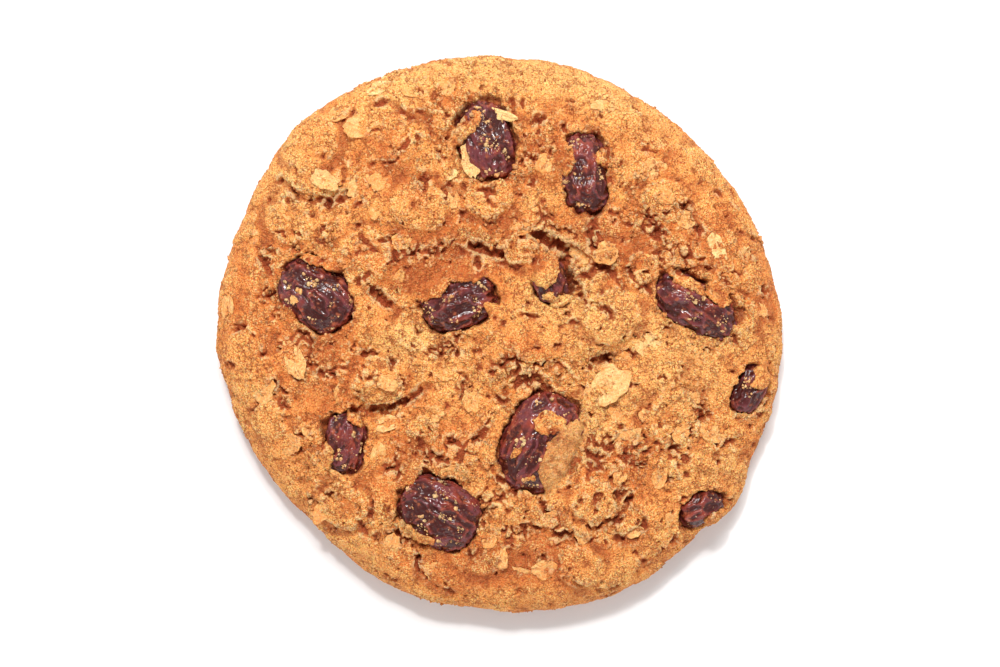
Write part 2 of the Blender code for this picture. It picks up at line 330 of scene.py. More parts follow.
places = np.empty(len(fine_data.vertices) * 3, np.float32)
fine_data.vertices.foreach_get("co", places)
places = places.reshape(-1, 3).astype(float)
normals = np.empty(len(places) * 3, np.float32)
fine_data.vertex_normals.foreach_get("vector", normals)
normals = normals.reshape(-1, 3).astype(float)
fine_faces = np.empty(len(fine_data.loops), np.int32)
fine_data.loops.foreach_get("vertex_index", fine_faces)
fine_faces = fine_faces.reshape(-1, 4)
fine_mean = averaging([fine_faces], len(places))
print(len(places), "vertices,", 2 * len(fine_faces), "triangles before shaping")

# %% [markdown]
# ## Crevices and holes
#
# Noise alone never looks like this one cookie. Its largest splits are listed, each a bent line with a half width and
# a depth, and its clearest holes are listed as points. The lines stay simple, because the next step bends every point
# of the surface before it measures the distance to them, and that makes their edges ragged.

# %% Crevices: points of a bent line, half width, depth
CREVICES = (
    (((-34.7, 24.2), (-32.5, 22.2), (-29.5, 21.3), (-26.0, 20.3), (-23.7, 21.7)), 0.75, 1.7),
    (((-25.0, 27.5), (-24.0, 25.0)), 0.6, 1.2),
    (((-24.8, 33.5), (-23.3, 34.3)), 0.5, 1.0),
    (((-20.0, 36.5), (-17.0, 36.0), (-14.5, 34.5), (-10.0, 34.5)), 0.55, 1.1),
    (((-35.0, 5.0), (-36.5, 10.0), (-38.0, 14.0)), 0.5, 0.8),
    (((-34.0, 10.5), (-31.5, 14.5)), 0.45, 0.8),
    (((-20.0, 26.0), (-15.0, 28.0)), 0.45, 0.8),
    (((-8.3, 31.0), (-7.0, 33.5), (-5.0, 36.0), (-2.5, 35.9), (0.0, 35.0)), 0.6, 2.0),
    (((-7.0, 30.5), (-6.0, 28.3)), 0.6, 1.6),
    (((-7.5, 23.3), (-6.0, 22.8)), 0.6, 1.0),
    (((-18.5, 14.5), (-17.0, 14.8)), 0.5, 0.9),
    (((-9.0, 12.8), (-4.0, 13.3), (0.0, 12.5)), 0.8, 1.4),
    (((-18.5, 5.5), (-15.5, 3.5), (-13.5, 3.2)), 0.75, 1.3),
    (((-23.8, 4.0), (-24.0, 1.5), (-25.0, 0.5)), 0.5, 1.0),
    (((-3.0, 18.2), (-1.0, 17.8), (0.5, 18.5)), 0.5, 0.9),
    (((1.5, 13.3), (2.8, 14.7), (4.2, 15.5)), 0.5, 1.0),
    (((0.3, 11.0), (2.5, 10.0), (4.8, 10.7), (5.5, 12.0)), 0.6, 1.1),
    (((6.0, 15.5), (9.0, 14.3), (11.0, 13.3), (10.4, 11.5), (10.6, 9.0), (12.5, 6.5)), 0.9, 2.2),
    (((12.0, 13.0), (15.0, 11.0), (17.0, 10.5)), 0.6, 1.1),
    (((17.0, 19.0), (18.5, 18.0), (20.0, 17.0)), 0.45, 0.8),
    (((21.0, 14.3), (23.5, 15.0), (26.5, 16.3)), 0.45, 0.8),
    (((20.0, 30.2), (22.5, 29.3), (24.7, 28.8)), 0.45, 0.7),
    (((3.5, 37.0), (3.8, 35.6)), 0.45, 0.8),
    (((38.0, 15.5), (41.0, 15.0)), 0.5, 0.8),
    (((24.5, 10.3), (27.5, 9.8)), 0.5, 0.9),
    (((3.0, 3.0), (6.0, 2.5)), 0.5, 0.9),
    (((27.8, 12.2), (32.0, 12.0)), 0.45, 0.8),
    (((9.5, 1.5), (12.5, 1.5)), 0.5, 0.9),
    (((14.7, -4.0), (17.0, -3.8), (20.5, -3.0)), 0.85, 1.4),
    (((1.0, -8.7), (3.5, -7.2), (6.5, -7.3)), 0.85, 1.4),
    (((7.0, -4.8), (10.0, -5.5), (13.0, -8.5)), 0.5, 0.9),
    (((15.5, -10.8), (18.0, -10.5)), 0.5, 0.9),
    (((31.0, -6.7), (32.0, -9.5)), 0.5, 0.9),
    (((22.3, -18.6), (23.5, -18.2)), 0.45, 0.9),
    (((25.0, -16.0), (25.0, -18.5)), 0.4, 0.8),
    (((34.0, -18.0), (37.0, -16.7)), 0.45, 0.9),
    (((17.0, -22.5), (19.0, -21.3)), 0.5, 0.9),
    (((15.5, -30.0), (18.0, -28.8), (19.7, -27.2), (19.9, -25.5)), 0.6, 1.2),
    (((5.3, -30.0), (7.5, -31.3), (11.0, -31.5), (12.5, -32.5)), 0.65, 1.4),
    (((18.0, -32.0), (19.5, -32.8), (21.5, -31.5)), 0.8, 1.3),
    (((22.0, -31.0), (23.0, -29.5)), 0.5, 0.9),
    (((10.5, -38.0), (12.5, -39.3)), 0.5, 0.9),
    (((15.5, -40.7), (18.5, -40.0)), 0.45, 0.8),
    (((9.0, -24.3), (10.5, -23.8)), 0.5, 1.0),
    (((21.0, -34.5), (23.0, -36.0)), 0.45, 0.8),
    (((-21.8, -3.5), (-19.5, -3.0), (-17.0, -4.0), (-15.5, -6.0), (-15.3, -8.0)), 0.5, 1.0),
    (((-20.0, -11.3), (-17.0, -11.5), (-14.0, -10.0), (-12.0, -8.0)), 0.8, 1.6),
    (((-36.0, -8.5), (-38.0, -11.0), (-39.0, -12.0)), 0.45, 0.9),
    (((-8.5, -16.8), (-7.0, -16.8)), 0.5, 1.1),
    (((-1.5, -20.5), (-0.5, -22.5), (2.0, -24.0)), 0.6, 1.2),
    (((-12.0, -21.5), (-9.0, -22.8), (-6.0, -23.5)), 0.55, 1.0),
    (((-30.5, -26.0), (-29.0, -26.5)), 0.45, 0.8),
    (((-18.0, -31.5), (-14.0, -32.5)), 0.5, 0.9),
    (((-12.2, -35.0), (-13.0, -37.0), (-11.5, -38.0)), 0.5, 1.0),
    (((-6.5, -6.0), (-5.3, -7.0)), 0.45, 0.9),
    (((-2.0, -8.0), (1.0, -11.0)), 0.5, 0.9),
    (((33.0, -24.5), (32.5, -28.0)), 0.5, 1.6),
    (((34.0, -26.8), (36.8, -25.8)), 0.4, 0.9),
    (((37.0, -8.5), (37.5, -10.0)), 0.6, 1.4),
    (((37.5, -13.5), (41.0, -11.0)), 0.5, 1.2),
)

# %% Holes: x, y, radius, depth
HOLES = (
    (-27.3, 27.5, 0.7, 1.2), (-38.0, 16.8, 0.6, 0.9), (-22.0, 8.2, 0.7, 1.1), (-12.8, 29.5, 0.5, 0.9),
    (-6.0, 18.6, 0.6, 1.1), (-6.5, 16.0, 0.9, 0.8), (-13.0, 12.5, 0.6, 0.9), (-3.5, 11.2, 1.0, 1.6),
    (-16.3, -0.8, 0.9, 1.3), (11.5, 6.7, 1.1, 2.2), (23.4, 7.0, 0.9, 0.9), (15.8, 6.7, 0.7, 0.9),
    (31.5, -12.8, 0.6, 1.0), (33.5, -13.0, 0.6, 1.0), (37.8, -19.2, 0.5, 1.0), (28.3, -20.8, 0.5, 0.9),
    (32.6, -22.0, 0.5, 0.9), (25.8, -23.2, 0.5, 0.9), (6.7, -35.0, 0.6, 1.1), (13.2, -14.0, 0.6, 1.1),
    (-22.2, -8.9, 0.7, 1.1), (-35.5, -7.8, 0.8, 1.1), (-42.3, -4.8, 0.7, 0.8), (-29.5, -13.0, 0.7, 1.2),
    (-30.3, -15.1, 0.6, 1.0), (-12.5, -17.3, 1.0, 1.2), (-4.0, -16.5, 0.8, 1.1), (-3.7, -3.2, 0.6, 1.1),
    (2.0, -25.0, 0.6, 1.0), (1.0, 19.7, 0.5, 0.9), (0.8, -10.6, 0.8, 1.2), (29.8, -33.0, 0.5, 0.8),
)

# %% Lumps: x, y, radius, height
LUMPS = (
    (-19.0, -7.4, 4.3, 0.5), (-36.0, -13.5, 3.2, 0.3), (-24.5, -27.0, 4.0, 0.4), (-30.0, 30.0, 5.0, 0.4),
    (-2.0, 21.5, 4.0, 0.4), (3.2, 12.6, 3.0, 0.45), (-13.0, 0.5, 3.6, 0.4), (17.5, 2.8, 4.6, 0.5),
    (27.0, -13.5, 4.6, 0.45), (10.0, -7.2, 2.6, 0.4), (12.5, -36.5, 3.6, 0.35), (-12.5, 20.0, 4.5, 0.4),
    (25.5, 20.5, 3.6, 0.35), (37.5, 3.0, 3.4, 0.35), (14.5, -26.0, 3.6, 0.4), (-33.0, 18.0, 4.0, 0.35),
    (-3.5, -33.5, 4.5, 0.35), (-12.0, -15.0, 2.6, 0.35), (22.0, 10.0, 2.8, 0.35), (-21.0, 12.0, 4.5, 0.35),
)

# %% [markdown]
# ## The crumb
#
# Dough that baked from a spoonful is a pile of clumps. Each clump lies a little higher or lower than its
# neighbours and tilts its own way, so their edges are small ragged cliffs, and here and there a gap is
# left between them. Three sizes are stacked: lumps of about 6.5 mm, crumbs of 2.6 mm and grains of
# 1.1 mm. The points are bent before the cells are looked up, which is what makes the edges ragged.

# %% Distance to the crevices
def crevice_shape(points):
    """Depth of the listed crevices and holes in millimetres, the step across them, and how far into one each point
    is, from 0 to 1."""
    depth = np.zeros(len(points))
    step = np.zeros(len(points))
    inside = np.zeros(len(points))
    flat = points[:, :2]
    for line, half_width, deep in CREVICES:
        corners = np.array(line)
        low, high = corners.min(axis=0) - 4.0, corners.max(axis=0) + 4.0
        rows = np.flatnonzero(((flat > low) & (flat < high)).all(axis=1))
        nearest = np.full(len(rows), 9.0)
        side = np.zeros(len(rows))
        for start, end in zip(corners, corners[1:]):
            run = end - start
            along = np.clip((flat[rows] - start) @ run / (run @ run), 0.0, 1.0)
            away = flat[rows] - start - along[:, None] * run
            distance = np.linalg.norm(away, axis=1)
            side = np.where(distance < nearest, away[:, 1] / (distance + 0.3), side)
            nearest = np.minimum(nearest, distance)
        share = ramp(nearest, 1.05 * half_width, 0.35 * half_width)
        depth[rows] = np.maximum(depth[rows], deep * share)
        inside[rows] = np.maximum(inside[rows], share)
        step[rows] += 0.24 * deep * side * np.exp(-((nearest / 1.8) ** 2))
    for x, y, radius, deep in HOLES:
        rows = np.flatnonzero((np.abs(flat - (x, y)) < 2.5).all(axis=1))
        share = ramp(np.linalg.norm(flat[rows] - (x, y), axis=1), 1.25 * radius, 0.4 * radius)
        depth[rows] = np.maximum(depth[rows], deep * share)
        inside[rows] = np.maximum(inside[rows], share)
    return depth, step, inside


# %% Tone and shade: where the crust is paler, more toasted, or painted darker as shade
# Entries below 0 are toasted patches and painted shade in broad depressions; the side and underside are made browner.
TONES_AND_SHADE = (  # x, y, radius, strength: paler above 0
    (0.0, 43.0, 12.0, 1.0), (-15.0, 41.0, 5.0, 0.7), (16.0, 40.0, 6.0, 1.0), (18.0, -4.0, 9.0, 1.3), (29.0, -3.0, 8.0, 0.7), (12.0, 6.0, 6.0, 0.7),
    (27.0, 5.0, 6.0, 0.6), (-13.0, 1.0, 7.0, 1.2), (-6.0, -9.0, 8.0, 0.8), (-30.0, 21.0, 7.0, 0.8),
    (7.0, 7.0, 4.5, 2.2), (15.0, 6.0, 4.0, 0.7), (-16.0, 0.0, 4.0, 1.2), (22.0, 31.0, 8.0, 0.4), (35.0, -20.0, 8.0, 0.6), (26.0, -14.0, 7.0, 0.3),
    (-20.0, -4.0, 5.0, 0.4), (14.0, -14.0, 4.0, 1.8), (-27.0, -21.0, 5.0, 1.0), (-16.0, -28.0, 6.0, 1.0),
    (35.0, 0.0, 4.0, 1.0), (-7.0, 22.0, 4.0, 0.9), (7.0, 21.0, 4.0, 1.2), (21.0, 22.0, 5.0, 0.8),
    (-7.0, 28.0, 3.5, 0.8), (-28.0, 14.0, 4.0, 0.6), (7.0, 14.0, 3.0, 0.6), (-3.0, -22.0, 5.0, 1.0),
    (28.0, -21.0, 5.0, 0.6), (0.0, -28.0, 5.0, 0.9), (14.0, -28.0, 5.0, 0.7), (-21.0, -35.0, 5.0, 0.3),
    (-42.0, -14.0, 5.0, 0.4), (33.0, -9.0, 5.0, 0.6), (-20.0, 34.0, 5.0, 0.3), (28.0, 13.0, 5.0, 0.2),
    (1.0, 12.0, 6.0, -0.9), (-9.0, 12.0, 6.0, -1.2), (-13.0, -21.0, 6.0, -1.6), (-9.0, -37.0, 6.0, -0.9),
    (1.0, -35.0, 6.0, -1.5), (-27.0, -6.0, 5.0, -0.9), (-28.0, 0.0, 5.0, -1.4), (28.0, 14.0, 7.0, -0.7),
    (-5.0, 12.5, 3.5, -1.2), (4.0, -7.0, 3.5, -1.2), (-3.5, -2.0, 2.0, -1.2), (8.0, 11.0, 3.5, -0.9),
    (-17.0, 3.0, 3.0, -0.9), (-14.0, -9.5, 3.5, -0.9), (0.0, -22.5, 3.0, -0.8), (-5.0, -16.0, 2.5, -1.1),
    (-27.0, -12.5, 3.0, -0.8), (19.5, -3.5, 2.5, -0.9), (-9.0, -24.0, 3.0, -0.7), (34.0, -25.0, 2.5, -0.9), (42.0, -18.0, 3.5, -1.6),
    (19.0, -22.0, 6.0, -0.8), (-7.0, 35.0, 4.0, -0.9), (-36.0, 11.0, 7.0, -1.0), (14.0, 14.0, 6.0, -1.8),
    (22.0, 14.0, 5.0, -1.0), (7.0, 28.0, 4.0, -2.4), (-24.0, 29.0, 7.0, -0.6), (42.0, 7.0, 4.0, -1.2),
    (35.0, 14.0, 5.0, -0.8), (8.0, -35.0, 4.0, -1.4), (-14.0, 8.0, 5.0, -1.5), (35.0, -14.0, 4.0, -0.7),
    (-43.0, 0.0, 6.0, -0.6),
)
from_middle = np.hypot(places[:, 0], places[:, 1])
on_top = ramp(normals[:, 2], 0.1, 0.5)
tone_and_shade = 0.8 * ramp(from_middle, 36.0, 41.5) * on_top - 1.2 * ramp(normals[:, 2], 0.2, -0.4)
for x, y, radius, strength in TONES_AND_SHADE:
    tone_and_shade += strength * np.exp(-((places[:, 0] - x) ** 2 + (places[:, 1] - y) ** 2) / radius**2) * on_top

# %% Work out the crumb over the whole surface
def rarest(values, share):
    """1 at the lowest of these values and 0 elsewhere, so that this share of them is picked."""
    return ramp(values, np.quantile(values, 1.5 * share), np.quantile(values, 0.5 * share))


def heap(points, size, lift, shift):
    """Height of a heap of round clumps of this size, and distance to the borders between them."""
    far, border, lot = clumps(points, size, shift=shift)
    return lift * (1.3 * (lot - 0.5) + 0.5 - 1.6 * (far / size) ** 2), border


bent = places + 0.7 * wander(places, 3.2) + 0.4 * wander(places, 1.3, shift=5.0)
bent += 0.32 * wander(places, 0.6, shift=8.0)
rim_zone = ramp(from_middle, 34.0, 41.0)
rough = ramp(fractal(places, 12.0, octaves=2, shift=3.0) - 0.5 * rim_zone, -0.45, 0.25)
opened = fractal(places, 3.6, octaves=3, shift=9.0) + 0.15 * rough - 0.15 * rim_zone
opened = ramp(opened - 0.2 * np.clip(tone_and_shade, -0.1, 1.5), 0.14, 0.6)

relief, border = heap(bent, 6.0, 0.24, 0.0)
gap = ramp(border, 0.12 + 0.42 * opened, 0.04) * opened
relief -= 0.85 * gap
# hollow marks where the dough is painted dark as shade: the gaps between clumps, pits and crevices.
hollow = gap

height, border = heap(bent, 2.4, 0.2, 2.0)
relief += height * (0.4 + 0.6 * rough)
gap = ramp(border, 0.08 + 0.30 * opened, 0.03) * opened
relief -= 0.55 * gap
hollow = np.maximum(hollow, gap)

height, border = heap(bent, 1.05, 0.15, 7.0)
relief += height * (0.35 + 0.65 * rough)
height, border = heap(places + 0.15 * wander(places, 0.5, shift=3.0), 0.5, 0.15, 11.0)
relief += height * (0.5 + 0.5 * rough)

pit = rarest(fractal(bent, 1.5, octaves=2, shift=21.0) + 0.15 * (1 - rough), 0.022)
relief -= 0.6 * pit
hollow = np.maximum(hollow, 0.9 * pit)

for x, y, radius, height in LUMPS:
    distance = np.hypot(bent[:, 0] - x, bent[:, 1] - y) / radius
    relief += on_top * height * (ramp(distance, 1.08, 0.8) - 0.45 * np.exp(-(((distance - 1.12) / 0.14) ** 2)))

depth, step, inside = crevice_shape(bent)
broken = ramp(opened + fractal(places, 1.6, octaves=2, shift=30.0), -0.2, 0.5)
relief += (step - depth * (0.25 + 0.65 * broken)) * on_top
hollow = np.maximum(hollow, inside * broken * on_top)

level = relief.copy()
for _ in range(25):
    level = 0.5 * level + 0.5 * fine_mean(level)
broad = level.copy()
for _ in range(220):
    broad = 0.5 * broad + 0.5 * fine_mean(broad)
lift = relief - level
rise = level - broad
print("rise in mm", np.round(np.percentile(rise, (5, 25, 50, 75, 95)), 3))
print("relief in mm", np.round(np.percentile(relief, (0, 5, 50, 95, 100)), 2))
print("lift in mm", np.round(np.percentile(lift, (5, 25, 50, 75, 95)), 3))

# %% [markdown]
# ## Pockets
#
# A raisin swells and shrinks in the oven, so it sits in a pocket: in places the dough hugs it or laps over its edge,
# elsewhere a gap opens that is painted dark as shade. The dough is pushed down under each raisin. Where crumbs or a
# skin of dough lie over one, a patch from a short list lifts the dough over its top again.

# %% Patches of dough on raisins: x, y, half length, half width, turn in degrees, thickness
PATCHES = (
    (-5.0, 32.3, 3.6, 1.5, 50.0, 0.25), (10.0, 27.5, 1.2, 3.6, 8.0, 0.25), (13.6, 32.0, 2.2, 0.9, 0.0, 0.3), (16.2, 27.5, 1.5, 1.6, 8.0, 0.35),
    (17.2, 24.0, 0.8, 2.6, 8.0, 0.2), (-28.0, 11.0, 3.4, 1.0, -20.0, 0.25), (-9.9, 7.6, 3.4, 2.0, 42.0, 0.35),
    (-4.5, 9.4, 4.4, 1.5, 14.0, 0.3), (-1.0, 3.5, 1.3, 1.6, 20.0, 0.25), (34.0, 6.2, 2.5, 1.6, -34.0, 0.45),
    (29.0, 8.0, 3.8, 1.2, -32.0, 0.25), (10.8, -19.2, 4.3, 6.8, -26.0, 0.14), (7.8, -14.0, 2.8, 1.8, 20.0, 0.35), (2.4, -18.6, 1.2, 0.9, 60.0, 0.25), (4.6, -22.6, 1.4, 0.7, 10.0, 0.2),
    (-26.9, -19.2, 1.3, 2.0, 0.0, 0.3), (-22.8, -13.6, 1.8, 1.0, -30.0, 0.3), (-13.2, -31.4, 4.2, 1.1, -30.0, 0.3),
    (40.9, -7.0, 1.4, 2.4, -30.0, 0.2), (34.0, -29.0, 2.0, 1.7, 0.0, 0.25), (7.0, 9.6, 2.2, 3.2, 10.0, 0.3),
    (-32.8, 2.6, 1.0, 2.4, 40.0, 0.25), (9.0, 5.4, 2.2, 1.0, 0.0, 0.25),
)

# %% Press the raisins in and lay the patches over them
pocket = np.zeros(len(places))
film = np.zeros(len(places))
brink = np.zeros(len(places))
torn = bent + 0.35 * wander(places, 0.8, shift=13.0)
for raisin in raisins:
    near = np.flatnonzero(np.linalg.norm(places - raisin["middle"], axis=1) < raisin["half"][0] + 4.0)
    oval = oval_distance(torn[near] * 0.6 + places[near] * 0.4, raisin)
    width, thickness = raisin["half"][1:]
    gap = 0.8 * fractal(places[near], 4.0, octaves=3, shift=40.0) - 0.15
    wall = (oval - 1.0) * width - gap
    bowl = 1.6 + 1.2 * thickness * ramp(oval, 1.05, 0.2)
    pressed = ramp(wall, 0.35, -0.2)
    shoulder = 0.2 * ramp(wall, 1.6, 0.3) * ramp(wall, -0.1, 0.5) * ramp(gap, 0.3, -0.2)
    cover = np.zeros(len(near))
    lid = np.zeros(len(near))
    flat = torn[near, :2]
    for x, y, length, wide, turn, thick in PATCHES:
        cos, sin = math.cos(math.radians(turn)), math.sin(math.radians(turn))
        along = ((flat[:, 0] - x) * cos + (flat[:, 1] - y) * sin) / length
        across = ((flat[:, 1] - y) * cos - (flat[:, 0] - x) * sin) / wide
        share = ramp(np.hypot(along, across), 1.1, 0.85)
        lid = np.where(share > cover, thick, lid)
        cover = np.maximum(cover, share)
    # The raisin's own top above the smooth dough, where a patch has to lie.
    local = (places[near] - raisin["middle"]) @ raisin["axes"].T
    crown = thickness * np.maximum(0.0, 1.0 - np.minimum(oval, 1.0) ** PLUMP_POWER) ** (1 / PLUMP_POWER)
    above = np.maximum(0.0, crown - local[:, 2]) * ramp(oval, 1.0, 0.9)
    lifted = above + lid * ramp(oval, 1.4, 1.0) + relief[near] * (0.5 + 0.5 * ramp(oval, 1.0, 1.3))
    dipped = relief[near] + shoulder - bowl * pressed
    relief[near] = dipped + (lifted - dipped) * cover
    pocket[near] = np.maximum(pocket[near], ramp(wall, 0.35, 0.0) * (1 - cover))
    brink[near] = np.maximum(brink[near], ramp(wall, 2.2, 0.3) * ramp(wall, -0.1, 0.3))
    film[near] = np.maximum(film[near], cover * ramp(lid, 0.2, 0.12) * ramp(oval, 1.15, 0.9))
# The gaps in the raisin pockets are painted dark too, as shade.
hollow = np.maximum(hollow * (1 - film), pocket)

# %% Keep the underside flat and its pores shallow
under = ramp(normals[:, 2], -0.5, -0.9)
far, border, lot = clumps(places + 0.5 * wander(places, 2.5), 2.4, shift=4.0)
pore = ramp(far, 0.9, 0.3) * (lot < 0.4) * under
rests = ramp(places[:, 2], 1.4, 0.0)
relief = relief * (1.0 - rests) - rests * (0.25 * pore + 0.12 * ramp(fractal(places, 5.0), -0.2, 0.6))
hollow = np.where(under > 0.5, 0.8 * pore, hollow)
fine_form = places + normals * relief[:, None]
fine_form[:, 2] = np.maximum(fine_form[:, 2], 0.0)


# %% Helpers that turn points into pieces
def new_piece(name, points, faces, material):
    """A mesh object in metres from points in millimetres, riding on the cookie's one body."""
    data = bpy.data.meshes.new(name)
    data.from_pydata((np.asarray(points) * MM).tolist(), [], faces)
    data.shade_smooth()
    data.materials.append(material)
    piece = bpy.data.objects.new(name, data)
    bpy.context.scene.collection.objects.link(piece)
    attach(piece, "root")
    return piece


def paint(piece, name, values):
    """Stores one number for each vertex, for the material to read."""
    layer = piece.data.attributes.new(name, "FLOAT", "POINT")
    layer.data.foreach_set("value", np.asarray(values, np.float32))


# %% [markdown]
# ## Materials
#
# Baked dough is matt and warm. Its colour follows its form: raised grains are pale straw, partly dried crust and
# partly painted light, flat crust is golden orange, and hollows are dark red brown, partly moist dough and partly
# painted shade. The shader mixes those three by the hollowness that was stored on the mesh and by noise at several
# sizes.

# %% A small helper for shader nodes
class Shader:
    """A Principled material and short calls to add nodes to it."""

    def __init__(self, name):
        self.material = bpy.data.materials.new(name)
        self.material.use_nodes = True
        self.tree = self.material.node_tree
        self.surface = self.tree.nodes["Principled BSDF"]
        self.place = self.tree.nodes.new("ShaderNodeTexCoord").outputs["Object"]

    def feed(self, socket, value):
        """Links an output to a socket, or sets the socket's value."""
        if isinstance(value, bpy.types.NodeSocket):
            self.tree.links.new(value, socket)
        else:
            socket.default_value = value

    def attribute(self, name):
        node = self.tree.nodes.new("ShaderNodeAttribute")
        node.attribute_name = name
        return node.outputs["Fac"]

    def noise(self, size, detail=3.0, shift=0.0):
        """Soft noise, with waves of this many millimetres."""
        node = self.tree.nodes.new("ShaderNodeTexNoise")
        node.noise_dimensions = "4D"
        node.inputs["Scale"].default_value = 1.0 / (size * MM)
        node.inputs["Detail"].default_value = detail
        node.inputs["W"].default_value = shift
        self.tree.links.new(self.place, node.inputs["Vector"])
        return node.outputs["Fac"]

    def grains(self, size):
        """Distance from the middle of round grains of this many millimetres."""
        node = self.tree.nodes.new("ShaderNodeTexVoronoi")
        node.inputs["Scale"].default_value = 1.0 / (size * MM)
        self.tree.links.new(self.place, node.inputs["Vector"])
        return node.outputs["Distance"]

    def cracks(self, size, bend):
        """Distance to the bent borders between lumps of this many millimetres."""
        sway = self.tree.nodes.new("ShaderNodeTexNoise")
        sway.inputs["Scale"].default_value = 1.6 / (size * MM)
        sway.inputs["Detail"].default_value = 1.0
        self.tree.links.new(self.place, sway.inputs["Vector"])
        shifted = self.tree.nodes.new("ShaderNodeVectorMath")
        shifted.operation = "MULTIPLY_ADD"
        self.tree.links.new(sway.outputs["Color"], shifted.inputs[0])
        shifted.inputs[1].default_value = (bend * MM,) * 3
        self.tree.links.new(self.place, shifted.inputs[2])
        node = self.tree.nodes.new("ShaderNodeTexVoronoi")
        node.feature = "DISTANCE_TO_EDGE"
        node.inputs["Scale"].default_value = 1.0 / (size * MM)
        self.tree.links.new(shifted.outputs["Vector"], node.inputs["Vector"])
        return node.outputs["Distance"]

    def between(self, value, low, high, start=0.0, end=1.0):
        """Maps low to high onto start to end with a smooth S."""
        node = self.tree.nodes.new("ShaderNodeMapRange")
        node.interpolation_type = "SMOOTHSTEP"
        self.feed(node.inputs["Value"], value)
        for socket, number in zip(("From Min", "From Max", "To Min", "To Max"), (low, high, start, end)):
            node.inputs[socket].default_value = number
        return node.outputs["Result"]

    def sum(self, *values):
        """Adds values and numbers."""
        total = values[0]
        for value in values[1:]:
            node = self.tree.nodes.new("ShaderNodeMath")
            node.operation = "ADD"
            self.feed(node.inputs[0], total)
            self.feed(node.inputs[1], value)
            total = node.outputs[0]
        return total

    def times(self, first, second):
        node = self.tree.nodes.new("ShaderNodeMath")
        node.operation = "MULTIPLY"
        self.feed(node.inputs[0], first)
        self.feed(node.inputs[1], second)
        return node.outputs[0]

    def mix(self, share, first, second):
        """Colour from first to second by share."""
        node = self.tree.nodes.new("ShaderNodeMix")
        node.data_type = "RGBA"
        self.feed(node.inputs[0], share)
        self.feed(node.inputs[6], first)
        self.feed(node.inputs[7], second)
        return node.outputs[2]

    def bump(self, height, depth):
        """Bumps of this many millimetres."""
        node = self.tree.nodes.new("ShaderNodeBump")
        node.inputs["Distance"].default_value = depth * MM
        self.tree.links.new(height, node.inputs["Height"])
        self.tree.links.new(node.outputs["Normal"], self.surface.inputs["Normal"])


def srgb(red, green, blue):
    """A colour given as 0 to 255 on screen, as the linear values that shaders use."""
    return (*(((c / 255 + 0.055) / 1.055) ** 2.4 if c > 10 else c / 3295 for c in (red, green, blue)), 1.0)


